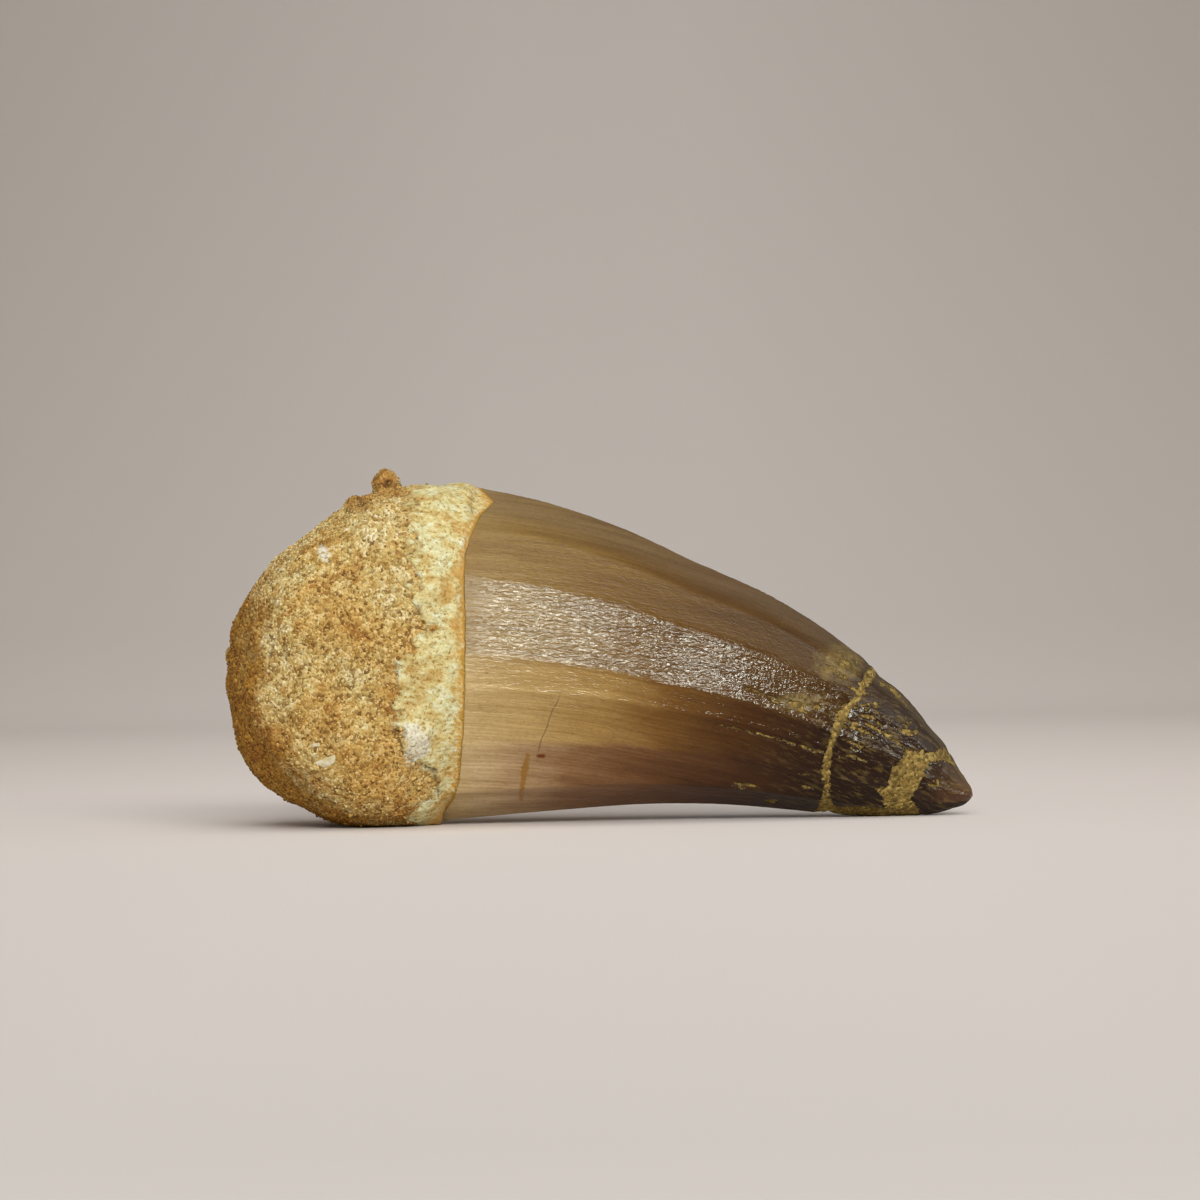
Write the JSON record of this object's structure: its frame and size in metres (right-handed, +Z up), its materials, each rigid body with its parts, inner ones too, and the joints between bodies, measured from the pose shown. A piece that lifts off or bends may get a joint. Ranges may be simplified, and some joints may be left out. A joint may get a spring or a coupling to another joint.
{
  "type": "mosasaur tooth",
  "caption": "Curved fossil mosasaur tooth crown with flat-faced brown enamel, its root still set in a rounded lump of sandy yellow matrix.",
  "frame": {"origin": "on the surface that the tooth rests on, under the centre of its bounding box", "axes": "+X from the lump of matrix to the crown's tip, +Y away from the side that is shown, +Z up"},
  "size_m": [0.0653, 0.0234, 0.0311],
  "materials": {
    "fossil_enamel": "glossy brown fossil enamel with fine lengthwise wrinkles, pale tan at the base and dark brown at the tip",
    "phosphate_sandstone": "matt, granular yellow-ochre phosphatic sandstone with cream root bone showing beside the crown"
  },
  "bodies": {
    "root": {"crown": "fossil_enamel", "matrix": "phosphate_sandstone"}
  },
  "joints": []
}
